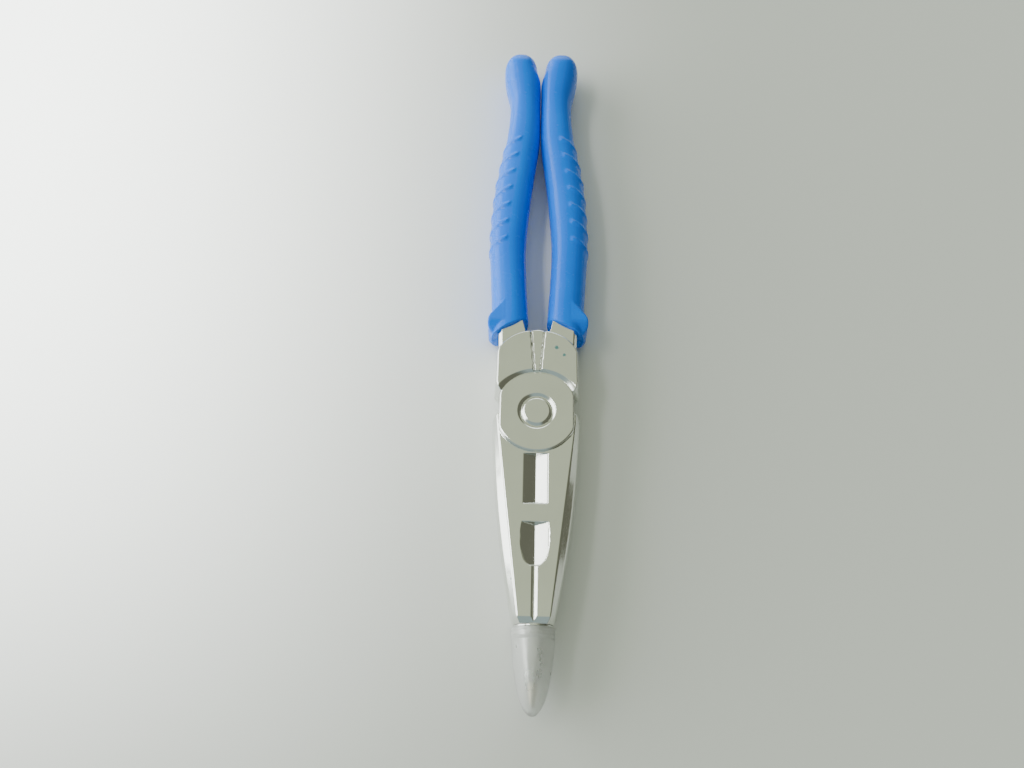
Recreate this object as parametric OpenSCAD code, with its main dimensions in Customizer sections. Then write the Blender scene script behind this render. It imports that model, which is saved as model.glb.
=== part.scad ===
// Pocket ballpoint pen shaped like a closed pair of long-nose pliers.
// X is the width, +Y points to the handle ends and -Y to the writing tip, +Z is up.
// The pen lies on its rear face. Its origin is below the middle of its length.

/* [Overall] */
// Length from the cap's tip to the handle ends
total_length = 160; // [158:0.5:162]
// Height of the joint between the front and rear halves
mid_z = 6; // [6:0.1:6.4]

/* [Head] */
// Half width of the jaws at their shoulders
jaw_half_w = 9.7; // [9.5:0.1:10]
// Half width of the jaws at the nose end
nose_half_w = 4.5; // [4.4:0.05:4.8]
// Height of the jaw face above the middle
jaw_h = 4.7; // [4.6:0.05:4.8]
// Height of the pivot disc above the middle
disc_h = 5.3; // [5.2:0.05:5.4]
// Height of the lever plates above the middle
lever_h = 6; // [5.9:0.05:6]
// Height of the tangs above the middle
tang_h = 4.5; // [4.2:0.05:4.6]
// Radius of the pivot disc at its top edge
disc_r = 8.9; // [8.7:0.1:9.1]
// Wall thickness of the head shells
head_wall = 1.3; // [1.1:0.1:1.4]

/* [Grips] */
// Wall thickness of the grip shells
grip_wall = 1.3; // [1.1:0.1:1.4]
// Height of each ridge at the outer side
rib_depth = 0.3; // [0.2:0.05:0.5]
// Number of ridges on each grip
rib_count = 7; // [5:1:7]
// Distance between ridges along the pen
rib_pitch = 4.6; // [4.4:0.1:4.8]

/* [Writing unit] */
// Outer radius of the cap at its mouth
cap_r = 4.57; // [4.5:0.01:4.6]
// Thickness of the cap's wall
cap_wall = 0.8; // [0.6:0.05:0.85]
// Outer radius of the refill tube
tube_r = 1.5; // [1.4:0.05:1.5]
// Radius of the writing ball
ball_r = 0.5; // [0.4:0.05:0.5]

/* [Hidden] */
$fn = 72;

chrome_colour = [0.74, 0.75, 0.72];
grip_colour = [0.05, 0.42, 0.85];
cap_colour = [0.93, 0.95, 0.96, 0.45];

handle_end_y = total_length / 2;
cap_tip_y = -total_length / 2;
mouth_y = -62.4;
pivot_y = -17.3;
eps = 0.01;
running_gap = 0.05;

// Everything that turns about the pen's axis is drawn along +Z from the head's mouth,
// and then laid down so that +Z becomes the way to the writing tip.
module along_axis() {
    translate([0, mouth_y, mid_z]) rotate([90, 0, 0]) children();
}

module both_sides() {
    children();
    mirror([1, 0, 0]) children();
}

function mirrored(right) = concat(
    right,
    [for (i = [len(right) - 1:-1:0]) [-right[i][0], right[i][1]]]
);

/* ---- head ---- */

jaw_top_y = -20;
jaw_bulge = 3.67;
jaw_steps = 14;
wall_h = 3.1;
notch_half_w = 8.1;
horn_r = 2.6;
wall_lean = 0.4;
plate_shoulder_w = 8.2;
plate_nose_w = 3.3;
nose_slope_len = 1.35;
nose_slope_drop = 0.75;

// Half width of the jaws' side, t running from 0 at the shoulder to 1 at the nose
function jaw_w(t) = jaw_half_w - (jaw_half_w - nose_half_w - jaw_bulge) * t - jaw_bulge * t * t;

function jaw_side(inset, end_y) = [
    for (i = [0:jaw_steps])
        let (t = i / jaw_steps)
        [jaw_w(t) - inset, jaw_top_y + (end_y - jaw_top_y) * t]
];

function jaw_horn(inset) = [
    for (a = [90:-15:15])
        [jaw_half_w - horn_r + (horn_r - inset) * cos(a), jaw_top_y + 1 + horn_r * sin(a)]
];

module jaw_outline(inset) {
    polygon(mirrored(concat(jaw_horn(inset), jaw_side(inset, mouth_y))));
}

module plate_outline(end_y) {
    polygon(mirrored([
        [plate_shoulder_w, jaw_top_y + 2],
        [plate_shoulder_w, jaw_top_y - 3],
        [plate_nose_w, end_y]
    ]));
}

// Side walls that lean in, bevels up to the plate, and a short slope at the nose
module jaw_body() {
    hull() {
        linear_extrude(eps) jaw_outline(0);
        translate([0, 0, wall_h]) linear_extrude(eps) jaw_outline(wall_lean);
    }
    hull() {
        translate([0, 0, wall_h]) linear_extrude(eps) jaw_outline(wall_lean);
        translate([0, 0, jaw_h - nose_slope_drop]) linear_extrude(eps) plate_outline(mouth_y);
        translate([0, 0, jaw_h - eps]) linear_extrude(eps) plate_outline(mouth_y + nose_slope_len);
    }
}

disc_foot_r = 10.1;

module pivot_disc() {
    translate([0, pivot_y, 0]) intersection() {
        union() {
            cylinder(r = disc_foot_r, h = wall_h);
            translate([0, 0, wall_h]) cylinder(r1 = disc_foot_r, r2 = disc_r, h = disc_h - wall_h);
        }
        translate([-notch_half_w, -disc_foot_r, 0]) cube([2 * notch_half_w, 2 * disc_foot_r, disc_h]);
    }
}

lever_clear_r = 9.1;
lever_edge_r = 9.7;

// Right lever, from the notch beside the pivot up to the arc where the tang begins
lever_foot = [
    [0.7, -6], [0.7, -12.5], [8.6, -12.9], [9.1, -12.4], [9.3, -7.5], [9.25, -4],
    [8.8, -2], [7.2, -0.6], [5, 0.7], [2.6, 1.5], [1.5, 1.6]
];
lever_top = [
    [0.75, -7.8], [0.75, -12.5], [8.5, -12.8], [8.75, -12.2], [8.85, -7.5], [8.8, -4],
    [8.2, -2.5], [6.6, -1.1], [4.6, 0.3], [2.5, 1.1], [1.5, 1.2]
];

module levers() {
    difference() {
        both_sides() {
            linear_extrude(tang_h + eps) polygon(lever_foot);
            hull() {
                translate([0, 0, tang_h]) linear_extrude(eps) polygon(lever_foot);
                translate([0, 0, lever_h - eps]) linear_extrude(eps) polygon(lever_top);
            }
        }
        translate([0, pivot_y, disc_h])
            cylinder(r1 = lever_clear_r, r2 = lever_edge_r, h = lever_h - disc_h + eps);
    }
}

web_h = 5.4;
web_end_y = 1.75;
web_r = 2.4;
web_stretch = 1.25;
web_low_y = -9;

// The bridge between the levers, with a round end above the pivot
module web() {
    linear_extrude(web_h) intersection() {
        translate([0, web_end_y - web_r * web_stretch]) scale([1, web_stretch]) circle(r = web_r);
        translate([-web_r, web_low_y]) square([2 * web_r, web_end_y - web_low_y]);
    }
    linear_extrude(web_h) polygon(mirrored([[1.6, 0.8], [0.8, web_low_y]]));
}

tang_end_y = 27;
tang_inner_h = 3.1;

// The wide part shows below the grip and stops at its mouth; the narrow part fills the grip
module tang() {
    linear_extrude(tang_h) polygon([
        [2.3, 0.5], [3.35, 4.6], [8.9, 1.9], [8.5, -3.5], [4, -3.5]
    ]);
    linear_extrude(tang_inner_h) polygon([
        [4.3, 2], [4.8, 12], [5.2, 18], [5.6, 24], [6.1, tang_end_y],
        [8.6, tang_end_y], [8.8, 24], [8.7, 18], [8.4, 12], [8.2, 2]
    ]);
}

slot_half_w = 2.7;
slot_depth = 1.5;
bridge_top_y = -37.8;
bridge_low_y = -41.6;
slot_top_y = -26.8;
slot_low_y = -50.9;
groove_half_w = 0.62;
groove_depth = 0.5;

module valley(half_w, depth, from_y, to_y) {
    translate([0, from_y, jaw_h]) rotate([90, 0, 0])
        linear_extrude(from_y - to_y)
            polygon([[-half_w, eps], [half_w, eps], [0, -depth]]);
}

lower_slot_half_w = 3.15;

// The lower slot swells a little below the bridge and closes in a round end
module lower_slot() {
    intersection() {
        valley(lower_slot_half_w, slot_depth + 0.1, bridge_low_y, slot_low_y);
        linear_extrude(2 * jaw_h) polygon(mirrored([
            [2.86, bridge_low_y], [3.02, -43.5], [3.06, -45], [2.9, -47],
            [2.45, -48.9], [1.8, -50.1], [0.9, slot_low_y]
        ]));
    }
}

ring_inner_r = 2.75;
ring_valley_r = 3.4;
ring_outer_r = 4.15;
ring_depth = 0.55;

module ring_groove() {
    translate([0, pivot_y, disc_h]) rotate_extrude()
        polygon([[ring_inner_r, eps], [ring_outer_r, eps], [ring_valley_r, -ring_depth]]);
}

// Clearance inside the head: the refill's tunnel, the nose cone's seat and the side channels
tunnel_r = tube_r + 0.2;
refill_end_y = -4;
seat_r = 3.6;
seat_depth = 8.4;

jaw_channel = [[3, -27], [6.6, -27], [6.1, -34], [5.2, -42], [4.1, -50], [3, -50]];
disc_channel_r = 7.6;
disc_channel_half_w = 6.6;
channel_inner_x = 3;

module head_hollow() {
    along_axis_half() cylinder(r = tunnel_r, h = refill_end_y - mouth_y + 0.5);
    along_axis_half() cylinder(r = seat_r, h = seat_depth);
    both_sides() translate([0, 0, -1]) linear_extrude(1 + jaw_h - head_wall - 0.2) polygon(jaw_channel);
    translate([0, pivot_y, -1]) linear_extrude(1 + disc_h - head_wall - 0.6) difference() {
        intersection() {
            circle(r = disc_channel_r);
            square([2 * disc_channel_half_w, 2 * disc_channel_half_w], center = true);
        }
        square([2 * channel_inner_x, 4 * disc_channel_r], center = true);
    }
}

// The same axis in the head's own frame, where the middle plane is at zero
module along_axis_half() {
    translate([0, mouth_y, 0]) rotate([-90, 0, 0]) children();
}

module half_head() {
    difference() {
        union() {
            jaw_body();
            pivot_disc();
            levers();
            web();
            both_sides() tang();
        }
        valley(slot_half_w, slot_depth, slot_top_y, bridge_top_y);
        lower_slot();
        valley(groove_half_w, groove_depth, slot_low_y + 1, mouth_y);
        ring_groove();
        head_hollow();
    }
}

peg_r = 0.9;
peg_h = 1.6;
peg_places = [[5.2, -3.5], [7.4, -25]];

// Pegs on the rear shell that sit in holes in the front shell
module peg_spots() {
    both_sides() for (place = peg_places) translate([place[0], place[1], 0]) children();
}

module front_head_shell() {
    color(chrome_colour) translate([0, 0, mid_z]) difference() {
        half_head();
        peg_spots() translate([0, 0, -eps]) cylinder(r = peg_r + running_gap, h = peg_h + 0.2);
    }
}

module rear_head_shell() {
    color(chrome_colour) translate([0, 0, mid_z]) {
        mirror([0, 0, 1]) half_head();
        peg_spots() translate([0, 0, -1]) cylinder(r = peg_r, h = peg_h + 1);
    }
}

/* ---- grips ---- */

// Each row: place along Y, inner edge, outer edge, half thickness, all for the right grip
outer_rows = [
    [3, 2.0, 10.7, 5.6], [9, 2.35, 10.75, 5.6], [15, 2.75, 11.1, 5.5], [25.5, 3.0, 11.6, 5.3],
    [39.4, 2.0, 10.9, 5.2], [48, 0.95, 9.6, 5.15], [55, 0.15, 8.3, 5.1], [65, 0.12, 7.7, 5.2],
    [72, 0.14, 9.0, 5.7], [75.2, 0.95, 9.3, 6.0], [80, 2.2, 9.0, 6.0]
];
bulb_start_y = 75.2;
bulb_len = handle_end_y - bulb_start_y;
squareness = 0.8;
grip_mouth_y = 3.3;
mouth_x = 6.15;
mouth_slope = -0.485;
slope_fade_y = 14;
ring_sides = 12;
first_rib_y = 23.1;
rib_slant = 2;
rib_sharpness = 4;

// Smooth blend between two rows, s running from 0 to 1
function ease(s) = s * s * (3 - 2 * s);

function catmull(a, b, c, d, s) =
    0.5 * ((2 * b) + (c - a) * s + (2 * a - 5 * b + 4 * c - d) * s * s + (3 * b - a - 3 * c + d) * s * s * s);

function row_at(rows, y) = max([for (i = [0:len(rows) - 2]) rows[i][0] <= y ? i : 0]);

function smooth_row(rows, y, k) =
    let (
        i = row_at(rows, y),
        n = len(rows) - 1,
        s = (y - rows[i][0]) / (rows[i + 1][0] - rows[i][0])
    )
    catmull(rows[max(i - 1, 0)][k], rows[i][k], rows[i + 1][k], rows[min(i + 2, n)][k], s);

// Height of the ridges; side is 1 at the outer edge, 0 on the crown and -1 at the inner edge
function rib_height(y, side) =
    let (
        along = (y + rib_slant * side - first_rib_y) / rib_pitch,
        inside = along > 0 && along < rib_count ? 1 : 0,
        reach = ease(min(1, max(0, (side + 0.06) / 0.4)))
    )
    inside * reach * rib_depth * pow(sin(180 * (along - floor(along))), rib_sharpness);

// Superellipse point on the ring at y; a is 0 at the outer side, 90 on top, 180 at the inner side.
// Past the start of the bulb the ring keeps its shape and closes like an ellipse.
function ring_point(y, a, inset, close) =
    let (
        row_y = min(y, bulb_start_y),
        inner = smooth_row(outer_rows, row_y, 1) + inset,
        outer = smooth_row(outer_rows, row_y, 2) - inset - rib_depth / 2 * (inset > 0 ? 1 : 0),
        half_w = (outer - inner) / 2 * close,
        half_t = (smooth_row(outer_rows, row_y, 3) - inset) * close,
        ux = sign(cos(a)) * pow(abs(cos(a)), squareness),
        uz = pow(abs(sin(a)), squareness),
        rib = inset > 0 ? 0 : rib_height(y, cos(a)),
        tilt = mouth_slope * max(0, 1 - (y - grip_mouth_y) / (slope_fade_y - grip_mouth_y)),
        x = (inner + outer) / 2 + (half_w + rib) * ux
    )
    [x, y + tilt * (x - mouth_x), (half_t + rib / 2) * uz];

ribs_start_y = first_rib_y - rib_slant - 1;
ribs_end_y = first_rib_y + rib_count * rib_pitch + 1;
ring_gap = 2.7;

// Rings stand close together along the ridges and wider apart elsewhere
grip_ys = concat(
    [for (y = [grip_mouth_y:ring_gap:ribs_start_y - ring_gap / 2]) y],
    [for (y = [ribs_start_y:rib_pitch / 6:ribs_end_y]) y],
    [for (y = [ribs_end_y + ring_gap / 2:ring_gap:bulb_start_y - 1]) y]
);

function grip_rings(inset) =
    let (reach = bulb_len - inset)
    concat(
        [for (y = grip_ys) [for (k = [0:ring_sides]) ring_point(y, k * 180 / ring_sides, inset, 1)]],
        [
            for (b = [0:14:84])
                [
                    for (k = [0:ring_sides])
                        ring_point(bulb_start_y + reach * sin(b), k * 180 / ring_sides, inset, cos(b))
                ]
        ]
    );

// Two triangles between the corners a, b, c, d, which go round the face
function quad(a, b, c, d) = [[a, b, c], [a, c, d]];

// One half of the right grip: a curved shell, open at the mouth and on the middle plane.
// Points run ring by ring, first on the outside and then on the inside, and end with two poles.
module grip_half_shell() {
    rings = len(grip_ys) + 7;
    stride = ring_sides + 1;
    base = rings * stride;
    outer_pole = 2 * base;
    inner_pole = outer_pole + 1;
    last = (rings - 1) * stride;
    far = ring_sides;
    pole_x = (smooth_row(outer_rows, bulb_start_y, 1) + smooth_row(outer_rows, bulb_start_y, 2)) / 2;
    points = concat(
        [for (r = grip_rings(0)) each r],
        [for (r = grip_rings(grip_wall)) each r],
        [[pole_x, handle_end_y, 0], [pole_x, handle_end_y - grip_wall, 0]]
    );
    faces = concat(
        [
            for (r = [0:rings - 2], k = [0:far - 1])
                let (i = r * stride + k, j = i + stride)
                each concat(
                    quad(i, i + 1, j + 1, j),
                    quad(base + i, base + j, base + j + 1, base + i + 1)
                )
        ],
        [
            for (k = [0:far - 1])
                let (i = last + k)
                each [[i, i + 1, outer_pole], [base + i, inner_pole, base + i + 1]]
        ],
        [
            for (r = [0:rings - 2])
                let (i = r * stride, j = i + stride)
                each concat(
                    quad(i, j, base + j, base + i),
                    quad(i + far, base + i + far, base + j + far, j + far)
                )
        ],
        quad(last, outer_pole, inner_pole, base + last),
        quad(last + far, base + last + far, inner_pole, outer_pole),
        [for (k = [0:far - 1]) each quad(k, base + k, base + k + 1, k + 1)]
    );
    polyhedron(points, faces, convexity = 8);
}

// Posts of the thumb guard: X, Y, radius, height
guard_posts = [[10.2, 2.35, 1.05, 3.4], [10.25, 5.0, 1.15, 4.9], [10.05, 8.2, 0.85, 3.6]];

// The lobe of the thumb guard that runs down beside the tang
module guard_lobe() {
    hull() for (post = guard_posts)
        translate([post[0], post[1], 0]) cylinder(r = post[2], h = post[3], $fn = 32);
}

module grip_half(side, front) {
    color(grip_colour) translate([0, 0, mid_z]) scale([side, 1, front ? 1 : -1]) {
        grip_half_shell();
        guard_lobe();
    }
}

module left_grip_front() { grip_half(-1, true); }
module left_grip_rear() { grip_half(-1, false); }
module right_grip_front() { grip_half(1, true); }
module right_grip_rear() { grip_half(1, false); }

/* ---- writing unit, drawn along the pen's axis from the head's mouth ---- */

cap_start = 0.5;
cap_len = mouth_y - cap_tip_y - cap_start;
cap_steps = 28;

// Cap radius, t running from 0 at the mouth to 1 at the tip
function ogive(t) = (1 - 0.08 * t) * pow(max(0, 1 - t * t), 0.45);

function cap_curve(r, len) = [
    for (i = [0:cap_steps])
        let (t = sin(90 * i / cap_steps))
        [r * ogive(t), cap_start + len * t]
];

cap_end_wall = 1.1;

module pen_cap() {
    outer = cap_curve(cap_r, cap_len);
    inner = cap_curve(cap_r - cap_wall, cap_len - cap_end_wall);
    color(cap_colour) along_axis() rotate_extrude() polygon(concat(
        outer,
        [for (i = [len(inner) - 1:-1:0]) inner[i]]
    ));
}

cap_fit = 0.12;
spigot_r = cap_r - cap_wall - cap_fit;
spigot_end = 2;
flange_r = 4.2;
flange_t = 0.4;
// Play between the flange and the end face of the head
flange_gap = 0.02;
seat_end_gap = 0.3;
// Taper of the nose past the spigot: radius, way along the axis
nose_taper = [[3.1, 2.4], [2.75, 6], [2.0, 9.8], [1.6, 11.2]];
nose_len = 11.2;
nose_tip_bore_r = 1.12;
nose_step = 8.5;

module nose_cone() {
    bore_r = tube_r + 0.04;
    plug_r = seat_r - running_gap;
    color(chrome_colour) along_axis() rotate_extrude() polygon(concat(
        [
            [bore_r, seat_end_gap - seat_depth], [plug_r, seat_end_gap - seat_depth],
            [plug_r, flange_gap], [flange_r, flange_gap], [flange_r, flange_t], [spigot_r, flange_t], [spigot_r, spigot_end]
        ],
        nose_taper,
        [[nose_tip_bore_r, nose_len], [nose_tip_bore_r, nose_step], [bore_r, nose_step - 0.2]]
    ));
}

tube_bore_r = 1.1;
fill_r = tube_bore_r - 0.02;
tube_front = nose_step - 0.3;
tube_back = mouth_y - refill_end_y;
tip_back = 4.2;
empty_len = 12;
ink_back = tube_back + empty_len;
grease_len = 3;

module refill_tube() {
    color([0.92, 0.94, 0.95, 0.5]) along_axis() translate([0, 0, tube_back]) difference() {
        cylinder(r = tube_r, h = tube_front - tube_back);
        translate([0, 0, -1]) cylinder(r = tube_bore_r, h = tube_front - tube_back + 2);
    }
}

module ink_column() {
    color([0.03, 0.06, 0.35]) along_axis() translate([0, 0, ink_back])
        cylinder(r = fill_r, h = tip_back - 0.1 - ink_back);
}

module grease_follower() {
    color([0.9, 0.85, 0.6]) along_axis() translate([0, 0, ink_back - grease_len])
        cylinder(r = fill_r, h = grease_len - 0.02);
}

seat_gap = 0.03;
ball_way = 15.3;
lip_way = 15.5;
ink_way_r = 0.35;
// Outside of the writing tip: radius, way along the axis
tip_profile = [[fill_r, 11.5], [0.98, 12.2], [0.98, 13], [0.62, 15], [0.56, lip_way]];

module writing_tip() {
    color([0.78, 0.66, 0.42]) along_axis() difference() {
        rotate_extrude() polygon(concat([[0, tip_back], [fill_r, tip_back]], tip_profile, [[0, lip_way]]));
        translate([0, 0, ball_way]) sphere(r = ball_r + seat_gap);
        translate([0, 0, tip_back - 0.2]) cylinder(r = ink_way_r, h = ball_way - tip_back);
    }
}

module writing_ball() {
    color([0.6, 0.6, 0.62]) along_axis() translate([0, 0, ball_way]) sphere(r = ball_r);
}

front_head_shell();
rear_head_shell();
left_grip_front();
left_grip_rear();
right_grip_front();
right_grip_rear();
nose_cone();
refill_tube();
ink_column();
grease_follower();
writing_tip();
writing_ball();
pen_cap();
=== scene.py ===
"""Looks of a pliers-shaped ballpoint pen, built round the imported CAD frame.

The silver head and the blue grips are meshed from distance fields, so that every edge has the soft
radius of a moulding. Fields work in millimetres, and the meshes are stored in metres.
"""

import math

import bpy
import numpy as np
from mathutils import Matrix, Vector


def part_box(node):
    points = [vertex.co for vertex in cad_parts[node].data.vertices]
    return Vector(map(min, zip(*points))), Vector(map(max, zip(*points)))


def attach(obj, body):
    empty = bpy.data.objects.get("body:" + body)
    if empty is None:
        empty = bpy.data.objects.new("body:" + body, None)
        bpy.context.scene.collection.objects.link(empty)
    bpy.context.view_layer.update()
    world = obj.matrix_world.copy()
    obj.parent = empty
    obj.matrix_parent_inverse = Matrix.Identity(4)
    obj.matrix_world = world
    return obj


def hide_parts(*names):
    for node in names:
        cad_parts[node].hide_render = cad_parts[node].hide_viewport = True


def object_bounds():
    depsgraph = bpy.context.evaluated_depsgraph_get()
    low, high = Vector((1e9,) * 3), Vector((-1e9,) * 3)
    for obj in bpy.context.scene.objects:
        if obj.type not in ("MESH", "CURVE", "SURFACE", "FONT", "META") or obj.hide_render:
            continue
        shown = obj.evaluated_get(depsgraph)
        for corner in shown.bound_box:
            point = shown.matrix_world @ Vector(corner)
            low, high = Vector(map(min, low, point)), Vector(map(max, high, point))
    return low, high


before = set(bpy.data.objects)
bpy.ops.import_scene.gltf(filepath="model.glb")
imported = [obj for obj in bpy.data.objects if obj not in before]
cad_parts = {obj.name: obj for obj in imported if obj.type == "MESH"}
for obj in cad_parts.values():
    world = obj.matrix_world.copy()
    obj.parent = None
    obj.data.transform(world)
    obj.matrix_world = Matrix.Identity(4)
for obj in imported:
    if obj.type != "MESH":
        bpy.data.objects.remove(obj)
cad_low, cad_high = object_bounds()

MM = 0.001

# ---------------------------------------------------------------- places, read from the frame (mm)


def node_box(name):
    low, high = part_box(name)
    return np.array(low) / MM, np.array(high) / MM


head_low = node_box("front_head_shell")[0]
MID_Z = float(head_low[2])
MOUTH_Y = float(head_low[1])
CAP_TIP_Y = float(cad_low[1]) / MM
HANDLE_END_Y = float(cad_high[1]) / MM

# ---------------------------------------------------------------- design sizes (mm)

JAW_H, DISC_H, LEVER_H, TANG_H, WEB_H = 4.7, 5.3, 6.0, 4.5, 5.75
WALL_H = 3.1
JAW_TOP_Y = -20.0
JAW_HALF_W, NOSE_HALF_W, JAW_BULGE = 9.7, 4.5, 3.67
HORN_TOP_Y, HORN_R = -16.4, 2.6
PLATE_SHOULDER_W, PLATE_NOSE_W = 8.45, 3.25
NOSE_SLOPE_LEN, NOSE_SLOPE_DROP = 1.35, 0.75
PIVOT_Y = -17.3
DISC_R, DISC_FOOT_R = 8.9, 10.1
NOTCH_HALF_W = 8.1
LEVER_CLEAR_R, LEVER_EDGE_R = 9.1, 9.5
LEVER_HALF_W, LEVER_WIDEST_Y, LEVER_FOOT_Y = 9.3, -5.5, -12.9
LEVER_ARC_X, LEVER_ARC_Y, LEVER_ARC_R = 1.0, -7.37, 8.72
GROOVE_FLOOR, GROOVE_LEAN, GROOVE_LEAN_SCALE = 5.35, 0.42, 0.922
WEB_END_Y, WEB_END_R = -1.9, 3.65
TUNNEL_END_Y = -4.0
TANG_HALF_W, TANG_LOW_Y, TANG_END_Y = 8.9, -3.0, 26.5
RING_INNER_R, RING_VALLEY_R, RING_OUTER_R, RING_DEPTH = 2.75, 3.4, 4.15, 0.55
SLOT_HALF_W, SLOT_DEPTH = 2.65, 1.5
SLOT_TOP_Y, BRIDGE_TOP_Y, BRIDGE_LOW_Y, SLOT_LOW_Y = -26.8, -37.8, -41.6, -50.9
GROOVE_HALF_W, GROOVE_DEPTH = 0.62, 0.5
SEAT_R, SEAT_DEPTH, TUNNEL_R = 3.6, 8.4, 1.7
SOFT = 0.22

# Right grip: place along Y, inner edge, outer edge, half thickness
GRIP_ROWS = np.array([
    [-4, 2.0, 10.7, 5.6], [3, 2.0, 10.7, 5.6], [9, 2.35, 10.75, 5.6], [15, 2.75, 11.1, 5.5],
    [25.5, 3.0, 11.6, 5.3], [39.4, 2.0, 10.9, 5.2], [48, 0.95, 9.6, 5.15], [55, 0.15, 8.3, 5.1],
    [65, 0.12, 7.7, 5.2], [72, 0.14, 9.0, 5.7], [75.2, 0.95, 9.3, 6.0],
])
BULB_START_Y = 75.2
RIB_COUNT, RIB_PITCH, FIRST_RIB_Y, RIB_DEPTH = 7, 4.6, 23.1, 0.26
RIB_HALF_WIDTH = 0.6
GRIP_MOUTH_Y, MOUTH_X, MOUTH_SLOPE = 3.3, 6.15, -0.485
CORE_X, CORE_LEAN, CORE_START_Y = 6.7, 0.035, 12
GUARD_OUTER, GUARD_LOW_Y, GUARD_H, GUARD_INNER = 11.3, 1.6, 5.55, 6.7
CREASE_OUTER, CREASE_INNER = (11.4, 5.0), (7.0, 10.2)

# ---------------------------------------------------------------- fields and blends


def both(a, b, r=0.0):
    """Where both solids are, with the shared edge rounded to radius r."""
    if r <= 0:
        return np.maximum(a, b)
    return np.minimum(-r, np.maximum(a, b)) + np.hypot(np.maximum(a + r, 0), np.maximum(b + r, 0))


def either(a, b, r=0.0):
    """Where either solid is, with the inner corner filled to radius r."""
    return -both(-a, -b, r)


def cut(a, b, r=0.0):
    """Solid a without solid b."""
    return both(a, -b, r)


def ease(s):
    s = np.clip(s, 0, 1)
    return s * s * (3 - 2 * s)


def plane2(u, v, a, b):
    """Signed distance from the line through a and b, positive on its left when going from a to b."""
    du, dv = b[0] - a[0], b[1] - a[1]
    n = math.hypot(du, dv)
    return ((v - a[1]) * du - (u - a[0]) * dv) / n


def smooth_rows(rows, y):
    """Catmull-Rom blend of the columns of rows at each y."""
    keys = rows[:, 0]
    y = np.clip(y, keys[0], keys[-1] - 1e-6)
    i = np.clip(np.searchsorted(keys, y, side="right") - 1, 0, len(keys) - 2)
    s = (y - keys[i]) / (keys[i + 1] - keys[i])
    last = len(keys) - 1
    out = []
    for column in rows[:, 1:].T:
        a, b, c, d = (column[np.clip(i + k, 0, last)] for k in (-1, 0, 1, 2))
        out.append(0.5 * (2 * b + (c - a) * s + (2 * a - 5 * b + 4 * c - d) * s * s
                          + (3 * b - a - 3 * c + d) * s ** 3))
    return out


# ---------------------------------------------------------------- the silver head


def jaw_half_width(y):
    t = (JAW_TOP_Y - y) / (JAW_TOP_Y - MOUTH_Y)
    t = np.maximum(t, 0)
    return JAW_HALF_W - (JAW_HALF_W - NOSE_HALF_W - JAW_BULGE) * t - JAW_BULGE * t * t


def plate_half_width(y):
    t = (JAW_TOP_Y - y) / (JAW_TOP_Y - MOUTH_Y)
    return PLATE_SHOULDER_W - (PLATE_SHOULDER_W - PLATE_NOSE_W) * t


def jaws(x, y, h):
    w = jaw_half_width(y)
    side = (x + 0.13 * h - w) / 1.03
    ledge = w - 0.4
    bevel_w = np.maximum(ledge - plate_half_width(y), 0.4)
    rise = JAW_H - WALL_H
    bevel = ((x - ledge) * rise + (h - WALL_H) * bevel_w) / np.hypot(bevel_w, rise)
    body = both(side, y - HORN_TOP_Y, HORN_R)
    body = both(body, both(bevel, (y - HORN_TOP_Y + 0.7 * (h - WALL_H)) * 0.82, 1.2), SOFT)
    body = both(body, h - JAW_H, SOFT)
    lean = math.hypot(NOSE_SLOPE_LEN, NOSE_SLOPE_DROP)
    fall = NOSE_SLOPE_DROP - (y - MOUTH_Y) * NOSE_SLOPE_DROP / NOSE_SLOPE_LEN
    top_slope = (h - JAW_H + fall) * NOSE_SLOPE_LEN / lean
    side_slope = (bevel * 1.03 + fall) * NOSE_SLOPE_LEN / lean
    wall_slope = (side + 0.25 * fall) * 0.95
    body = both(body, both(both(top_slope, side_slope, 0.08), wall_slope, 0.1), 0.06)
    return both(body, MOUTH_Y - y, 0.08)


def pivot_disc(x, y, h):
    rho = np.hypot(x, y - PIVOT_Y)
    slope = (DISC_FOOT_R - DISC_R) / (DISC_H - WALL_H)
    wall = (rho - DISC_R - (DISC_H - h) * slope) / math.hypot(1, slope)
    wall = np.maximum(wall, rho - DISC_FOOT_R)
    flat = x - NOTCH_HALF_W
    return both(both(wall, h - DISC_H, SOFT), flat, 0.35)


def levers(x, y, h):
    rho = np.hypot(x, y - PIVOT_Y)
    above = np.maximum(y - LEVER_WIDEST_Y, 0)
    below_widest = np.maximum(LEVER_WIDEST_Y - y, 0)
    belly = LEVER_HALF_W - 0.012 * above ** 2 + 0.02 * below_widest
    side = x - belly + 0.06 * h
    bevel = (x - belly + 0.1 + (h - 4.7) * 0.35) / 1.06
    top_arc = np.hypot(x - LEVER_ARC_X, y - LEVER_ARC_Y) - LEVER_ARC_R + 0.25 * (h - LEVER_H)
    foot = LEVER_FOOT_Y - y + 0.12 * (9 - x)
    slope = (LEVER_EDGE_R + 0.011 * x * x - LEVER_CLEAR_R) / (LEVER_H - DISC_H)
    hollow = (LEVER_CLEAR_R + (h - DISC_H) * slope - rho) / np.hypot(1, slope)
    body = both(both(side, bevel, SOFT), top_arc, 0.3)
    body = both(body, foot, 0.45)
    inner = (groove_line(y) + GROOVE_LEAN * (h - GROOVE_FLOOR) - x) * GROOVE_LEAN_SCALE
    plate = both(both(body, h - LEVER_H, SOFT), inner, 0.07)
    floor = both(body, both(h - GROOVE_FLOOR, x - 3.0, 0), 0)
    plate = both(np.minimum(plate, floor), hollow, 0.12)
    below = both(both(body, h - TANG_H, 0.1), 2.0 - x, 0)
    return np.minimum(plate, below)


def groove_line(y):
    """Half width of the web between the two lever plates."""
    return 0.62 + (y + 8.6) * 0.085


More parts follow.
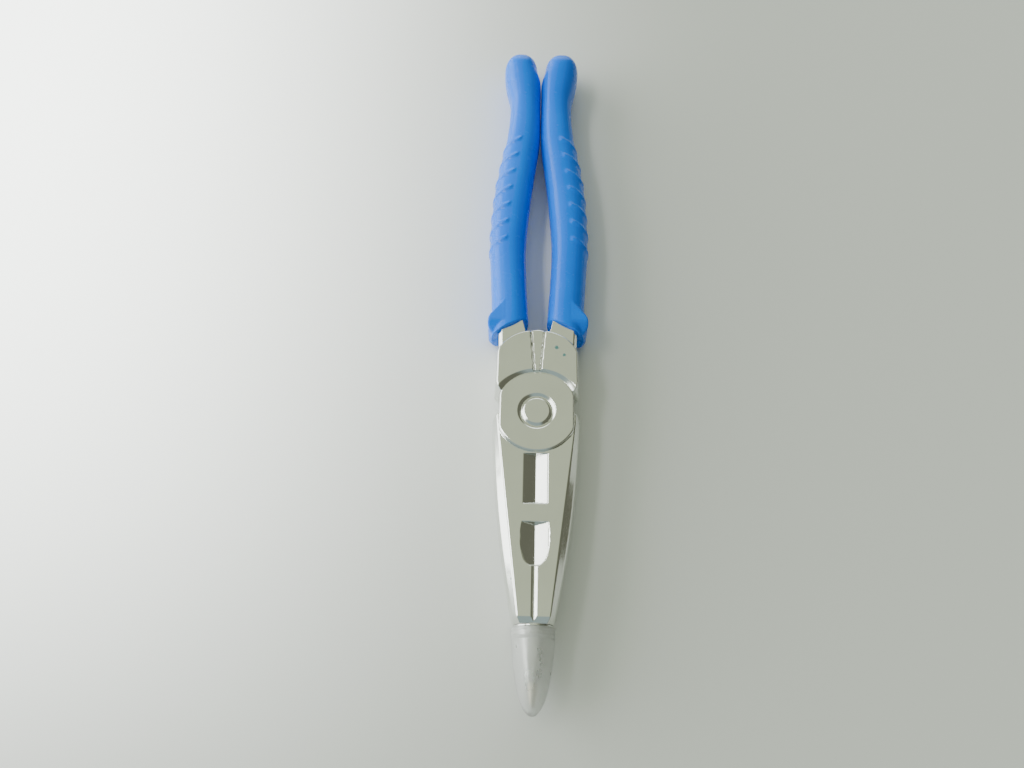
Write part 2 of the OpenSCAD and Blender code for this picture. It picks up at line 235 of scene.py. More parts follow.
def web(x, y, h):
    end = np.hypot(x, y - WEB_END_Y) - WEB_END_R
    side = (x - groove_line(y) + GROOVE_LEAN * (h - GROOVE_FLOOR)) * GROOVE_LEAN_SCALE
    crown = both(both(end, h - WEB_H, 0.35), side, 0.07)
    root = both(both(end, h - GROOVE_FLOOR, 0), x - 2.2, 0)
    strip = both(both(y, h - WEB_H, SOFT), side, 0.07)
    near_disc = LEVER_CLEAR_R + 0.1 - np.hypot(x, y - PIVOT_Y)
    return both(np.minimum(np.minimum(crown, root), strip), near_disc, 0.1)


def tang(x, y, h):
    inner = plane2(x, y, (3.4, 4.7), (2.35, 0.6))
    outer = x - TANG_HALF_W + 0.045 * (2.5 - y)
    bevel = (outer + 0.75 + (h - TANG_H)) * math.sqrt(0.5)
    wide = both(both(-inner, outer, 0.3), both(h - TANG_H, bevel, 0.15), 0.2)
    end = (y - GRIP_MOUTH_Y - MOUTH_SLOPE * (x - MOUTH_X)) / 1.06 - 0.02
    wide = both(both(wide, end, 0), TANG_LOW_Y - y, 0)
    centre = CORE_X + CORE_LEAN * (y - CORE_START_Y)
    core = both(both(np.abs(x - centre) - 1.9, h - WALL_H, 0.5), both(y - TANG_END_Y, 1.0 - y, 0), 0.5)
    return np.minimum(wide, core)


def head(x, y, z):
    """The whole head; x is mirrored and h is the height off the middle plane."""
    h = np.abs(z - MID_Z)
    x = np.sqrt(x * x + 1e-6)
    solid = np.minimum(jaws(x, y, h), pivot_disc(x, y, h))
    solid = either(solid, levers(x, y, h), 0.12)
    solid = either(solid, web(x, y, h), 0.12)
    solid = either(solid, tang(x, y, h), 0.12)

    slope = SLOT_DEPTH / SLOT_HALF_W
    facet = -(h - JAW_H + SLOT_DEPTH - slope * x) / math.hypot(1, slope)
    upper = np.maximum(facet, np.maximum(y - SLOT_TOP_Y, (BRIDGE_TOP_Y - y) + 0.35 * (JAW_H - h)))
    solid = cut(solid, upper, 0.14)

    bulge = 3.08 - 0.035 * (y + 44.8) ** 2
    pocket = both(x - bulge, SLOT_LOW_Y - y, 1.6)
    deep = -(h - JAW_H + SLOT_DEPTH + 0.1 - 0.53 * x) / 1.132
    lower = np.maximum(np.maximum(deep, pocket + 0.3 * (JAW_H - h)), y - BRIDGE_LOW_Y + 0.35 * (JAW_H - h))
    solid = cut(solid, lower, 0.14)

    slope = GROOVE_DEPTH / GROOVE_HALF_W
    facet = -(h - JAW_H + GROOVE_DEPTH - slope * x) / math.hypot(1, slope)
    groove = np.maximum(facet, y - SLOT_LOW_Y - 1.2)
    solid = cut(solid, groove, 0.07)

    rho = np.hypot(x, y - PIVOT_Y)
    inside = -(h - DISC_H + RING_DEPTH * (rho - RING_INNER_R) / (RING_VALLEY_R - RING_INNER_R))
    outside = -(h - DISC_H + RING_DEPTH * (RING_OUTER_R - rho) / (RING_OUTER_R - RING_VALLEY_R))
    ring = np.maximum(inside * 0.76, outside * 0.81)
    solid = cut(solid, both(ring, DISC_H - 1.2 - h, 0), 0.12)

    bore = np.hypot(x, z - MID_Z)
    seat = both(bore - SEAT_R, y - MOUTH_Y - SEAT_DEPTH, 0)
    tunnel = both(bore - TUNNEL_R, y - TUNNEL_END_Y, 0)
    return cut(solid, np.minimum(seat, tunnel), 0.1)


# ---------------------------------------------------------------- the blue grips


def rib_height(y, side):
    """Thin ridges that slant down the outer side and end half way across the face."""
    along = (y + 2.1 * np.sign(side) * np.abs(side) ** 1.3 - FIRST_RIB_Y) / RIB_PITCH
    on = (along > 0) & (along < RIB_COUNT)
    off_crest = (along - np.floor(along) - 0.5) * RIB_PITCH
    ridge = np.exp(-((off_crest / RIB_HALF_WIDTH) ** 2))
    return np.where(on, ease((side + 0.06) / 0.22) * RIB_DEPTH * ridge, 0)


def right_grip(x, y, z):
    h = np.abs(z - MID_Z)
    inner, outer, thick = smooth_rows(GRIP_ROWS, y)
    centre, half_w = (inner + outer) / 2, (outer - inner) / 2
    past = np.clip((y - BULB_START_Y) / (HANDLE_END_Y - BULB_START_Y), 0, None)
    power = 2.5
    u = np.abs(x - centre) / half_w + 1e-4
    v = h / thick + 1e-4
    f = np.sqrt((u ** power + v ** power) ** (2 / power) + past * past)
    grow = np.sqrt((u ** (power - 1) / half_w) ** 2 + (v ** (power - 1) / thick) ** 2
                   + (past / (HANDLE_END_Y - BULB_START_Y)) ** 2)
    side = (x - centre) / half_w / np.maximum(f, 0.3)
    body = (f - 1) / np.maximum(grow, 0.12)
    body = body + RIB_DEPTH * 0.4 * ease(side) - rib_height(y, side)

    mouth = (GRIP_MOUTH_Y + MOUTH_SLOPE * (x - MOUTH_X) - y) / 1.11
    body = both(body, mouth, 0.25)

    # Thumb guard: a flat slab that widens outwards, with a lobe beside the tang
    crease = plane2(x, y, CREASE_OUTER, CREASE_INNER)
    slab = both(-crease, x - GUARD_OUTER, 0.7)
    slab = both(slab, GUARD_LOW_Y - y, 2.1)
    slab = both(slab, h - GUARD_H + 0.3 * np.maximum(7.8 - x, 0), 0.4)
    slab = both(slab, (h - 5.4 + (4.0 - y) * 0.85) / 1.31, 0.35)
    slab = both(slab, GUARD_INNER - x, 0)
    solid = either(body, slab, 0.2)

    pocket = both(both(x - 8.95, 3.35 - x, 0), -mouth, 0)
    solid = cut(solid, pocket, 0.16)

    core_centre = CORE_X + CORE_LEAN * (y - CORE_START_Y)
    hollow = both(both(np.abs(x - core_centre) - 2.0, h - 3.2, 0.5), y - 27, 0)
    return cut(solid, hollow, 0)


# ---------------------------------------------------------------- mesher


def surface_net(field, low, high, step):
    """Vertices and quads of the zero surface of field inside the box, one vertex a cell."""
    counts = [int(math.ceil((high[k] - low[k]) / step)) + 1 for k in range(3)]
    axes = [(low[k] + step * np.arange(counts[k])).astype(np.float32) for k in range(3)]
    x, y, z = np.meshgrid(*axes, indexing="ij")
    value = field(x, y, z).astype(np.float32)
    del x, y, z
    total = np.zeros([n - 1 for n in counts] + [3], np.float32)
    crossings = np.zeros([n - 1 for n in counts], np.int16)
    cells = tuple(n - 1 for n in counts)
    for axis in range(3):
        a = np.moveaxis(value, axis, 0)[:-1]
        b = np.moveaxis(value, axis, 0)[1:]
        hit = (a < 0) != (b < 0)
        t = np.where(hit, a / np.where(hit, a - b, 1), 0)
        hit, t = np.moveaxis(hit, 0, axis), np.moveaxis(t, 0, axis)
        others = [k for k in range(3) if k != axis]
        for i in (0, 1):
            for j in (0, 1):
                pick = [slice(None)] * 3
                pick[others[0]] = slice(i, i + cells[others[0]])
                pick[others[1]] = slice(j, j + cells[others[1]])
                h, s = hit[tuple(pick)], t[tuple(pick)]
                crossings += h
                total[..., axis] += s
                total[..., others[0]] += i * h
                total[..., others[1]] += j * h
    live = crossings > 0
    index = np.full(cells, -1, np.int32)
    index[live] = np.arange(int(live.sum()), dtype=np.int32)
    where = np.argwhere(live)
    points = (where + total[live] / crossings[live][:, None]) * step + np.array(low)
    quads = []
    for axis in range(3):
        others = [k for k in range(3) if k != axis]
        inside = value < 0
        a = np.moveaxis(inside, (axis, *others), (0, 1, 2))
        change = a[:-1, 1:-1, 1:-1] != a[1:, 1:-1, 1:-1]
        up = a[:-1, 1:-1, 1:-1]
        cell = np.moveaxis(index, (axis, *others), (0, 1, 2))
        corners = [cell[:, :-1, :-1], cell[:, 1:, :-1], cell[:, 1:, 1:], cell[:, :-1, 1:]]
        stack = np.stack([c[change] for c in corners], axis=1)
        flip = ~up[change] if axis != 1 else up[change]
        stack[flip] = stack[flip][:, ::-1]
        quads.append(stack)
    return points, np.concatenate(quads)


def slopes(field, p, e=0.02):
    out = np.empty_like(p)
    for k in range(3):
        d = np.zeros(3)
        d[k] = e
        out[:, k] = (field(*(p + d).T) - field(*(p - d).T)) / (2 * e)
    return out


def settle(field, p, limit, rounds=4):
    """Moves each vertex onto the zero surface, never further than limit."""
    start = p.copy()
    for _ in range(rounds):
        g = slopes(field, p)
        f = field(*p.T)
        p = p - g * (f / np.maximum((g * g).sum(1), 0.2))[:, None]
        d = p - start
        far = np.maximum(np.linalg.norm(d, axis=1) / limit, 1)
        p = start + d / far[:, None]
    return p


def mesh_object(name, points_mm, faces, normals=None):
    mesh = bpy.data.meshes.new(name)
    mesh.from_pydata((np.asarray(points_mm) * MM).tolist(), [], [list(map(int, f)) for f in faces])
    mesh.validate()
    mesh.update()
    for p in mesh.polygons:
        p.use_smooth = True
    if normals is not None and len(normals) == len(mesh.vertices):
        mesh.normals_split_custom_set_from_vertices(normals.tolist())
    obj = bpy.data.objects.new(name, mesh)
    bpy.context.scene.collection.objects.link(obj)
    return obj


def field_piece(name, field, low, high, step):
    points, quads = surface_net(field, low, high, step)
    points = settle(field, points, step)
    g = slopes(field, points, 0.05)
    g /= np.maximum(np.linalg.norm(g, axis=1), 1e-6)[:, None]
    return mesh_object(name, points, quads, g)


# ---------------------------------------------------------------- turned pieces


def rounded(corners, closed):
    """Profile points and outward normals; each corner is (radius, way along the axis, fillet)."""
    pts = np.array([c[:2] for c in corners], float)
    count = len(pts)
    loop = np.roll(pts, -1, axis=0)
    area = float((pts[:, 0] * loop[:, 1] - loop[:, 0] * pts[:, 1]).sum())
    turn = 1 if area > 0 else -1

    def outward(a, b):
        d = (b - a) / max(np.linalg.norm(b - a), 1e-9)
        return np.array([d[1], -d[0]]) * turn

    out = []
    for i, corner in enumerate(corners):
        here = pts[i]
        before = pts[i - 1] if closed or i > 0 else None
        after = pts[(i + 1) % count] if closed or i < count - 1 else None
        if before is None or after is None:
            out.append((*here, *(outward(here, after) if before is None else outward(before, here))))
            continue
        n_in, n_out = outward(before, here), outward(here, after)
        bend = math.atan2(n_in[0] * n_out[1] - n_in[1] * n_out[0], float(n_in @ n_out))
        fillet = corner[2] if len(corner) > 2 else 0
        if fillet <= 0 or abs(bend) < 0.02:
            mean = n_in + n_out
            out.append((*here, *(mean / np.linalg.norm(mean))))
            continue
        reach = min(np.linalg.norm(before - here), np.linalg.norm(after - here)) * 0.45
        back = min(fillet * math.tan(abs(bend) / 2), reach)
        radius = back / math.tan(abs(bend) / 2)
        start = here + (before - here) / np.linalg.norm(before - here) * back
        hollow = -1 if bend * turn < 0 else 1
        centre = start - n_in * radius * hollow
        steps = max(2, int(math.ceil(abs(bend) / math.radians(15))))
        angle = math.atan2(n_in[1], n_in[0])
        for k in range(steps + 1):
            a = angle + bend * k / steps
            n = np.array([math.cos(a), math.sin(a)])
            out.append((*(centre + n * radius * hollow), *n))
    return out


def lathe(name, corners, closed, turns=96):
    """A solid of revolution about the pen's axis; ways run from the head's mouth to the tip."""
    profile = rounded(corners, closed)
    points, normals, rows = [], [], []
    for radius, way, nr, nw in profile:
        count = 1 if radius < 1e-6 else turns
        rows.append((len(points), count))
        for k in range(count):
            c, s = math.cos(2 * math.pi * k / turns), math.sin(2 * math.pi * k / turns)
            points.append((radius * c, MOUTH_Y - way, MID_Z + radius * s))
            normals.append((nr * c, -nw, nr * s) if count > 1 else (0, -nw or 1e-6, 0))
    faces = []
    pairs = list(zip(rows, rows[1:] + rows[:1])) if closed else list(zip(rows, rows[1:]))
    for (a, count_a), (b, count_b) in pairs:
        for k in range(turns):
            n = (k + 1) % turns
            ring = [a + (k if count_a > 1 else 0)]
            if count_a > 1:
                ring.append(a + n)
            ring.append(b + (n if count_b > 1 else 0))
            if count_b > 1:
                ring.append(b + k)
            faces.append(ring)
    points, normals = np.array(points), np.array(normals)
    face = next(f for f in faces if len(f) == 4)
    across = np.cross(points[face[1]] - points[face[0]], points[face[3]] - points[face[0]])
    if across @ normals[face].mean(0) < 0:
        faces = [f[::-1] for f in faces]
    return mesh_object(name, points, faces, normals)


# ---------------------------------------------------------------- materials


def nodes_of(name, roughness=0.3, colour=(0.8, 0.8, 0.8), **sockets):
    material = bpy.data.materials.new(name)
    material.use_nodes = True
    tree = material.node_tree
    shader = tree.nodes["Principled BSDF"]
    shader.inputs["Base Color"].default_value = (*colour, 1)
    shader.inputs["Roughness"].default_value = roughness
    for key, value in sockets.items():
        shader.inputs[key.replace("_", " ")].default_value = value
    return material, tree, shader


def add(tree, kind, settings=(), **sockets):
    node = tree.nodes.new(kind)
    for key, value in settings:
        setattr(node, key, value)
    for key, value in sockets.items():
        node.inputs[key].default_value = value
    return node


def object_point(tree):
    return tree.nodes.new("ShaderNodeTexCoord").outputs["Object"]


def stretched_point(tree, scale):
    mapping = add(tree, "ShaderNodeMapping", Scale=scale)
    tree.links.new(object_point(tree), mapping.inputs["Vector"])
    return mapping.outputs["Vector"]


def noise(tree, scale, detail=3.0, rough=0.5, stretch=None):
    n = add(tree, "ShaderNodeTexNoise", Scale=scale, Detail=detail, Roughness=rough)
    point = stretched_point(tree, stretch) if stretch else object_point(tree)
    tree.links.new(point, n.inputs["Vector"])
    return n.outputs["Fac"]


def remap(tree, value, low, high, from_low=0.0, from_high=1.0):
    m = tree.nodes.new("ShaderNodeMapRange")
    tree.links.new(value, m.inputs["Value"])
    m.inputs["From Min"].default_value = from_low
    m.inputs["From Max"].default_value = from_high
    m.inputs["To Min"].default_value = low
    m.inputs["To Max"].default_value = high
    return m.outputs["Result"]


def arithmetic(tree, operation, a, b):
    m = add(tree, "ShaderNodeMath", [("operation", operation)])
    for socket, value in zip(m.inputs, (a, b)):
        if isinstance(value, (int, float)):
            socket.default_value = value
        else:
            tree.links.new(value, socket)
    return m.outputs["Value"]


def blend_colour(tree, factor, a, b):
    mix = add(tree, "ShaderNodeMix", [("data_type", "RGBA")])
    tree.links.new(factor, mix.inputs["Factor"])
    for socket, value in ((mix.inputs[6], a), (mix.inputs[7], b)):
        if isinstance(value, tuple):
            socket.default_value = (*value, 1)
        else:
            tree.links.new(value, socket)
    return mix.outputs[2]


def bump(tree, shader, height, distance, strength=1.0):
    b = add(tree, "ShaderNodeBump", Strength=strength, Distance=distance)
    tree.links.new(height, b.inputs["Height"])
    tree.links.new(b.outputs["Normal"], shader.inputs["Normal"])


# Pin holes in the plating: place (mm), radius (mm)
PIN_HOLES = (((4.2, -2.65, 12.0), 0.6), ((5.85, -4.4, 12.0), 0.48), ((-4.9, -53.6, 10.4), 0.35))


def pin_hole_mask(tree):
    """1 in the holes where the plating is missing, with ragged edges."""
    ragged = remap(tree, noise(tree, 3200.0, 2.0), -0.35, 0.35)
    total = None
    for place, radius in PIN_HOLES:
        far = add(tree, "ShaderNodeVectorMath", [("operation", "DISTANCE")])
        tree.links.new(object_point(tree), far.inputs[0])
        far.inputs[1].default_value = tuple(c * MM for c in place)
        edge = arithmetic(tree, "ADD", arithmetic(tree, "DIVIDE", far.outputs["Value"], radius * MM), ragged)
        hole = remap(tree, edge, 1.0, 0.0, 0.55, 1.0)
        total = hole if total is None else arithmetic(tree, "MAXIMUM", total, hole)
    return total


def chrome_material():
    material, tree, shader = nodes_of("metallised_plastic", Metallic=1.0)
    cloud = noise(tree, 90.0, 5.0, 0.6)
    tone = blend_colour(tree, remap(tree, cloud, 0, 1, 0.35, 0.7), (0.84, 0.85, 0.82), (0.79, 0.80, 0.765))
    holes = pin_hole_mask(tree)
    tree.links.new(blend_colour(tree, holes, tone, (0.10, 0.24, 0.23)), shader.inputs["Base Color"])
    tree.links.new(arithmetic(tree, "SUBTRACT", 1.0, holes), shader.inputs["Metallic"])
    haze = remap(tree, noise(tree, 420.0, 5.0, 0.65), 0.07, 0.17, 0.3, 0.75)
    rub = remap(tree, noise(tree, 1500.0, 3.0, 0.6, (1.0, 0.12, 1.0)), 0.0, 0.1, 0.6, 0.8)
    tree.links.new(arithmetic(tree, "ADD", haze, rub), shader.inputs["Roughness"])
    waves = noise(tree, 190.0, 2.0)
    grain = noise(tree, 2600.0, 2.0)
    height = arithmetic(tree, "ADD", waves, arithmetic(tree, "MULTIPLY", grain, 0.05))
    bump(tree, shader, height, 0.00009, 0.22)
    return material


def blue_material():
    material, tree, shader = nodes_of("blue_plastic", IOR=1.5, Specular_IOR_Level=0.22)
    cloud = noise(tree, 70.0, 4.0)
    tone = blend_colour(tree, remap(tree, cloud, 0, 1, 0.35, 0.7), (0.0, 0.19, 0.96), (0.0, 0.165, 0.88))
    dust = remap(tree, noise(tree, 2400.0, 2.0, 0.6), 0.0, 0.05, 0.66, 0.74)
    tree.links.new(blend_colour(tree, dust, tone, (0.5, 0.62, 0.8)), shader.inputs["Base Color"])
    haze = remap(tree, noise(tree, 420.0, 4.0), 0.2, 0.3, 0.3, 0.75)
    tree.links.new(haze, shader.inputs["Roughness"])
    waves = noise(tree, 900.0, 2.0)
    grain = arithmetic(tree, "MULTIPLY", noise(tree, 4200.0, 2.0), 0.15)
    peel = arithmetic(tree, "ADD", waves, grain)
    bump(tree, shader, peel, 0.00003, 0.3)
    return material


def paint(tree, shader, mask, dark, light):
    """Base colour that runs from dark to light with the mask."""
    tree.links.new(blend_colour(tree, mask, dark, light), shader.inputs["Base Color"])


def turned_metal(name, dark, light, roughness, pitch_mm):
    """Metal with the fine rings that a lathe leaves round the pen's axis."""
    material, tree, shader = nodes_of(name, Metallic=1.0)
    rings = noise(tree, 1.0 / (pitch_mm * MM), 2.0, 0.5, (0.02, 1.0, 0.02))
    paint(tree, shader, rings, dark, light)
    tree.links.new(remap(tree, rings, roughness * 0.8, roughness * 1.3, 0.3, 0.7), shader.inputs["Roughness"])
    bump(tree, shader, rings, 0.00001, 0.5)
    return material


def tube_material():
    material, tree, shader = nodes_of(
        "clear_tube", colour=(0.95, 0.97, 0.98), Transmission_Weight=0.95, IOR=1.49)
    draw_lines = noise(tree, 1800.0, 3.0, 0.5, (1.0, 0.03, 1.0))
    tree.links.new(remap(tree, draw_lines, 0.1, 0.24, 0.3, 0.7), shader.inputs["Roughness"])
    bump(tree, shader, draw_lines, 0.00001, 0.3)
    return material


def ink_material():
    material, tree, shader = nodes_of("blue_ink", IOR=1.45)
    film = noise(tree, 700.0, 4.0, 0.6, (1.0, 0.2, 1.0))
    paint(tree, shader, film, (0.004, 0.008, 0.06), (0.01, 0.02, 0.16))
    tree.links.new(remap(tree, film, 0.08, 0.2, 0.3, 0.7), shader.inputs["Roughness"])
    return material


def grease_material():
    material, tree, shader = nodes_of("clear_grease", Transmission_Weight=0.6, IOR=1.46)
    cloud = noise(tree, 1400.0, 4.0, 0.6)
    paint(tree, shader, cloud, (0.9, 0.82, 0.5), (0.95, 0.9, 0.68))
    tree.links.new(remap(tree, cloud, 0.15, 0.3, 0.3, 0.7), shader.inputs["Roughness"])
    return material


def ball_material():
    material, tree, shader = nodes_of("carbide_ball", Metallic=1.0)
    grain = noise(tree, 9000.0, 4.0, 0.6)
    paint(tree, shader, grain, (0.34, 0.34, 0.36), (0.5, 0.5, 0.52))
    tree.links.new(remap(tree, grain, 0.12, 0.22, 0.3, 0.7), shader.inputs["Roughness"])
    bump(tree, shader, grain, 0.000003, 0.4)
    return material


def cap_material():
    material, tree, shader = nodes_of(
        "frosted_cap", colour=(0.975, 0.98, 0.975), Transmission_Weight=0.74, IOR=1.4)
    cloud = noise(tree, 260.0, 4.0, 0.6, (1.0, 0.45, 1.0))
    tree.links.new(remap(tree, cloud, 0.26, 0.33, 0.3, 0.7), shader.inputs["Roughness"])
    frost = noise(tree, 5200.0, 3.0, 0.6)
    bump(tree, shader, frost, 0.000002, 0.08)
    return material


def floor_material():
    material, tree, shader = nodes_of("pale_floor", roughness=0.55)
    cloud = noise(tree, 6.0, 3.0)
    paint(tree, shader, cloud, (0.80, 0.81, 0.79), (0.84, 0.85, 0.83))
    return material


def assign(obj, material):
    obj.data.materials.clear()
    obj.data.materials.append(material)


def fit_out(piece, material, body, node):
    """Gives a piece its material, hangs it on its body and hides the CAD node it stands for."""
    assign(piece, material)
    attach(piece, body)
    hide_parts(node)


# ---------------------------------------------------------------- build


def build_head():
    chrome = chrome_material()
    seam = 0.012
    r = 0.14
    step = 0.22
    half = step * math.ceil(10.4 / step)
    low = np.array([-half, MOUTH_Y - 0.6, MID_Z - 0.6])
    high = np.array([half, 27.4, MID_Z + LEVER_H + 0.6])

    def front(x, y, z):
        return both(head(x, y, z), MID_Z + seam - z, r)

    def rear(x, y, z):
        return both(head(x, y, z), z - MID_Z + seam, r)

    drop = np.array([0, 0, LEVER_H])
    fit_out(
        field_piece("head_front", front, low, high, step),
        chrome, "handle", "front_head_shell",
    )
    fit_out(
        field_piece("head_rear", rear, low - drop, high - drop, step),
        chrome, "handle", "rear_head_shell",
    )


def build_grips():
    blue = blue_material()
    seam = 0.015
    r = 0.16
    step = 0.26
    for side_name, sign in (("left", -1), ("right", 1)):
        for face, up in (("front", 1), ("rear", -1)):

            def half(x, y, z, sign=sign, up=up):
                return both(right_grip(x * sign, y, z), seam - (z - MID_Z) * up, r)

            low_x, high_x = (-0.4, 12.2) if sign > 0 else (-12.2, 0.4)
            low_z, high_z = (-0.6, 6.6) if up > 0 else (-6.6, 0.6)
            piece = field_piece(
                f"{side_name}_grip_{face}_skin", half,
                [low_x, 0.2, MID_Z + low_z], [high_x, HANDLE_END_Y + 0.6, MID_Z + high_z], step,
            )
            fit_out(piece, blue, "handle", f"{side_name}_grip_{face}")


CAP_R, CAP_WALL, CAP_START, CAP_END_WALL = 4.57, 0.8, 0.5, 1.1
CAP_LEN = MOUTH_Y - CAP_TIP_Y - CAP_START
CAP_RINGS = (1.25, 2.05, 2.85)
CAP_RING_DEPTH, CAP_RING_WIDTH = 0.09, 0.16


def ogive(t):
    return (1 - 0.08 * t) * max(0.0, 1 - t * t) ** 0.45


def ring_groove(way):
    """Depth of the fine rings round the cap's mouth."""
    return sum(CAP_RING_DEPTH * math.exp(-(((way - at) / CAP_RING_WIDTH) ** 2)) for at in CAP_RINGS)


def build_cap():
    fine, coarse = 40, 50
    fine_end = 0.22
    ts = [fine_end * i / fine for i in range(fine)]
    first = math.asin(fine_end)
    ts += [math.sin(first + (math.pi / 2 - first) * i / coarse) for i in range(coarse + 1)]
    outer, inner = [], []
    for i, t in enumerate(ts):
        fillet = 0.12 if i == 0 else 0
        end = i == len(ts) - 1
        way = CAP_START + CAP_LEN * t
        outer.append((0.0 if end else CAP_R * ogive(t) - ring_groove(way), way, fillet))
        way = CAP_START + (CAP_LEN - CAP_END_WALL) * t
        inner.append((0.0 if end else (CAP_R - CAP_WALL) * ogive(t), way, fillet))
    cap = lathe("cap_moulding", inner[::-1] + outer, closed=False, turns=128)
    fit_out(cap, cap_material(), "cap", "pen_cap")


SPIGOT_R = CAP_R - CAP_WALL - 0.12
TUBE_R, TUBE_BORE_R = 1.5, 1.1
TUBE_FRONT, TUBE_BACK = 8.2, -58.3
INK_BACK, INK_FRONT, GREASE_LEN = -46.4, 4.1, 3.0
BALL_R, BALL_WAY, SEAT_GAP = 0.5, 15.3, 0.03


def ring_cut(radius, way, depth=0.1, width=0.22):
    """Corners of a shallow groove turned into a straight stretch."""
    return [
        (radius, way - width / 2, 0.05), (radius - depth, way - width / 4, 0.05),
        (radius - depth, way + width / 4, 0.05), (radius, way + width / 2, 0.05),
    ]


def build_nose_cone():
    corners = [
        (1.54, -8.1, 0.1), (3.55, -8.1, 0.25), (3.55, 0.02, 0.0), (4.2, 0.02, 0.1), (4.2, 0.4, 0.12),
        (SPIGOT_R, 0.4, 0.08), *ring_cut(SPIGOT_R, 0.95), *ring_cut(SPIGOT_R, 1.45), (SPIGOT_R, 2.0, 0.15),
        (3.1, 2.4, 0.2), (2.97, 3.75, 0.4), (2.75, 6.0, 2.0), (2.0, 9.8, 3.0), (1.6, 11.2, 0.18),
        (1.12, 11.2, 0.1), (1.12, 8.6, 0.05), (1.54, 8.4, 0.05),
    ]
    silver = turned_metal("satin_silver", (0.74, 0.75, 0.73), (0.84, 0.85, 0.83), 0.2, 0.09)
    cone = lathe("nose_cone_turned", corners, closed=True)
    fit_out(cone, silver, "writing_unit", "nose_cone")


def build_writing_tip():
    seat_r = BALL_R + SEAT_GAP
    channel_r = 0.35
    lip_way = 15.5
    lip = math.asin((lip_way - BALL_WAY) / seat_r)
    foot = -math.acos(channel_r / seat_r)
    seat_steps = 8
    seat = [
        (seat_r * math.cos(a), BALL_WAY + seat_r * math.sin(a), 0)
        for a in (lip + (foot - lip) * k / seat_steps for k in range(seat_steps + 1))
    ]
    body_r = TUBE_BORE_R - 0.02
    corners = [
        (channel_r, 4.2, 0.05), (body_r, 4.2, 0.15), (body_r, 11.5, 0.1), (0.98, 12.0, 0.1),
        *ring_cut(0.98, 12.6, 0.07, 0.2), (0.98, 13.1, 0.2), (0.66, 14.8, 0.3), (0.56, 15.36, 0.1),
        (0.53, lip_way, 0.02), *seat,
    ]
    nickel = turned_metal("nickel_silver", (0.66, 0.6, 0.46), (0.8, 0.74, 0.6), 0.16, 0.05)
    tip = lathe("tip_turned", corners, closed=True, turns=64)
    fit_out(tip, nickel, "writing_unit", "writing_tip")


def meniscus(back, radius, depth=0.28, steps=6):
    """Corners of a hollow end face, from the axis out to the wall."""
    return [(radius * k / steps, back + depth * (1 - (k / steps) ** 2), 0) for k in range(steps + 1)]


def build_refill():
    tube = [
        (TUBE_BORE_R, TUBE_BACK, 0.08), (TUBE_R, TUBE_BACK, 0.12), (TUBE_R, TUBE_FRONT, 0.12),
        (TUBE_BORE_R, TUBE_FRONT, 0.08),
    ]
    fit_out(
        lathe("tube_drawn", tube, closed=True),
        tube_material(), "writing_unit", "refill_tube",
    )
    fill_r = TUBE_BORE_R - 0.02
    ink = [*meniscus(INK_BACK, fill_r), (fill_r, INK_FRONT, 0.05), (0, INK_FRONT)]
    fit_out(
        lathe("ink_fill", ink, closed=False, turns=64),
        ink_material(), "writing_unit", "ink_column",
    )
    grease_back = INK_BACK - GREASE_LEN
    front = [(r, way - 0.02, 0) for r, way, _ in meniscus(INK_BACK, fill_r)[::-1]]
    grease = [*meniscus(grease_back, fill_r, 0.35), *front]
    fit_out(
        lathe("grease_plug", grease, closed=False, turns=64),
        grease_material(), "writing_unit", "grease_follower",
    )
    assign(bpy.data.objects["writing_ball"], ball_material())


# ---------------------------------------------------------------- stage, camera and light


def build_stage():
    bpy.ops.mesh.primitive_plane_add(size=1.6, location=(0, 0, 0))
    floor = bpy.context.object
    floor.name = "floor"
    assign(floor, floor_material())


PITCH = math.radians(68.5)
CAMERA_YAW = math.radians(1.3)
CAMERA_MM = (-3.68, -91.37, 214.65)
FOCAL_PX, WIDTH_PX, SENSOR_MM = 1000.0, 1024.0, 36.0


def build_camera():
    camera = bpy.data.objects.new("camera", bpy.data.cameras.new("camera"))
    camera.data.sensor_width = SENSOR_MM
    camera.data.lens = FOCAL_PX / WIDTH_PX * SENSOR_MM
    camera.data.clip_start = 0.01
    camera.location = [c * MM for c in CAMERA_MM]
    camera.rotation_euler = (math.pi / 2 - PITCH, 0, CAMERA_YAW)
    bpy.context.scene.collection.objects.link(camera)
    bpy.context.scene.camera = camera


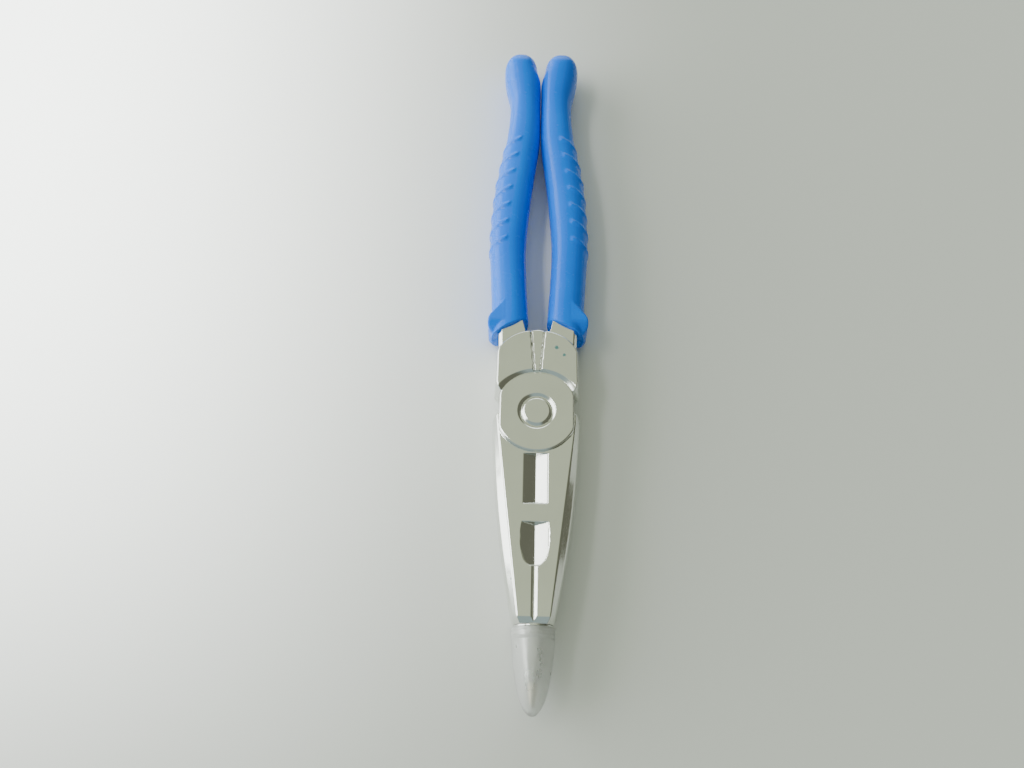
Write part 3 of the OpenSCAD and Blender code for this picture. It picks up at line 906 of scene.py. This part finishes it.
def panel(name, place, target, width, height, radiance, spread=180.0):
    """A soft box of even radiance that faces target."""
    data = bpy.data.lights.new(name, "AREA")
    data.shape = "RECTANGLE"
    data.size, data.size_y = width, height
    data.energy = radiance * math.pi * width * height
    data.color = (0.97, 1.0, 0.985)
    data.spread = math.radians(spread)
    light = bpy.data.objects.new(name, data)
    light.location = place
    light.rotation_euler = (Vector(target) - Vector(place)).to_track_quat("-Z", "Y").to_euler()
    bpy.context.scene.collection.objects.link(light)
    light.visible_camera = False


# The room: pale daylight from the left and behind, a grey ceiling, a darker side on the right
CEILING = (0.62, 0.68, 0.50)
FRONT_WALL = (0.36, 0.46, 0.45)
RIGHT_WALL = (0.15, 0.155, 0.115)
BACK_WALL = (2.6, 2.8, 2.7)
LEFT_WALL = (5.2, 5.4, 5.2)


# Each wall: its colour, and for each axis of the direction where it starts and where it is full
WALLS = (
    (FRONT_WALL, (("Y", -0.2, -0.65),)),
    (BACK_WALL, (("Y", 0.8, 0.95),)),
    (RIGHT_WALL, (("X", 0.2, 0.6),)),
    (LEFT_WALL, (("X", -0.6, -0.76), ("Z", 0.72, 0.52), ("Y", -0.46, -0.28))),
)


def build_room():
    world = bpy.data.worlds.new("room")
    world.use_nodes = True
    tree = world.node_tree
    split = tree.nodes.new("ShaderNodeSeparateXYZ")
    tree.links.new(tree.nodes.new("ShaderNodeTexCoord").outputs["Generated"], split.inputs[0])
    colour = None
    for wall, limits in WALLS:
        share = None
        for axis, start, full in limits:
            part = tree.nodes.new("ShaderNodeMapRange")
            part.interpolation_type = "SMOOTHSTEP"
            tree.links.new(split.outputs[axis], part.inputs["Value"])
            part.inputs["From Min"].default_value = start
            part.inputs["From Max"].default_value = full
            fresh = part.outputs["Result"]
            share = fresh if share is None else arithmetic(tree, "MULTIPLY", share, fresh)
        mix = add(tree, "ShaderNodeMix", [("data_type", "VECTOR")])
        tree.links.new(share, mix.inputs["Factor"])
        if colour is None:
            mix.inputs[4].default_value = CEILING
        else:
            tree.links.new(colour, mix.inputs[4])
        mix.inputs[5].default_value = wall
        colour = mix.outputs[1]
    tree.links.new(colour, tree.nodes["Background"].inputs["Color"])
    bpy.context.scene.world = world


def build_lights():
    panel("table_light", (-0.15, 0.09, 0.17), (-0.15, 0.09, 0), 0.14, 0.28, 6.5, 80.0)


build_camera()
build_room()
build_lights()
build_stage()
build_head()
build_grips()
build_nose_cone()
build_refill()
build_writing_tip()
build_cap()
